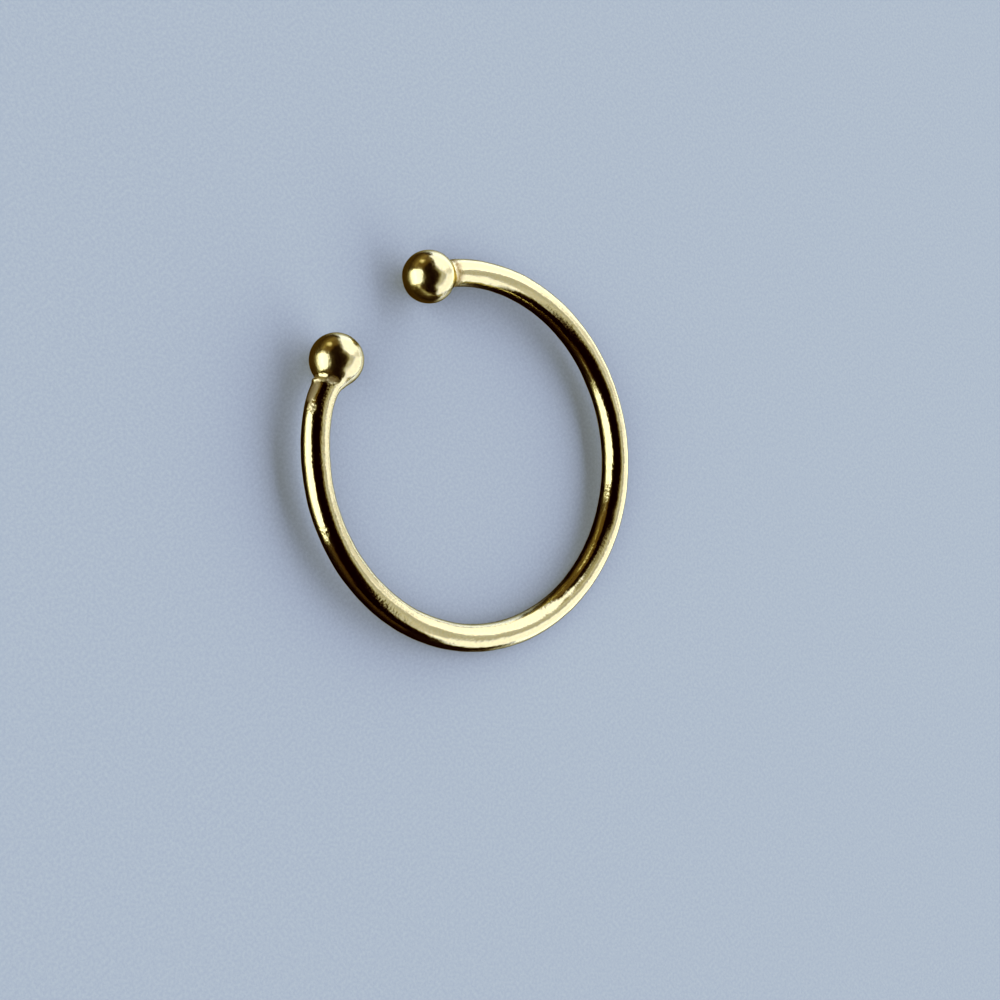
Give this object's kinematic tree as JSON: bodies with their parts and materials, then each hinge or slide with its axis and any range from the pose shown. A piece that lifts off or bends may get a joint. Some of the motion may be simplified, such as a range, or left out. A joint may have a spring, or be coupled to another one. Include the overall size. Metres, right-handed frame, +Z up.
{
  "type": "ear cuff",
  "caption": "Open hoop of round gold-coloured wire with a ball soldered on each end, worn over the rim of an unpierced ear.",
  "frame": {"origin": "on the resting surface under the middle of the hoop, which lies on its side", "axes": "+Z up, +Y from the gap between the balls towards the far side of the hoop, +X across the gap; the X=0 plane halves the cuff"},
  "size_m": [0.0142, 0.0141, 0.0019],
  "materials": {
    "polished_gold": "polished gold plate, with fine drawing marks on the wire and rough solder at the necks of the balls"
  },
  "bodies": {
    "root": {"ball_end_hoop": "polished_gold"}
  },
  "joints": []
}
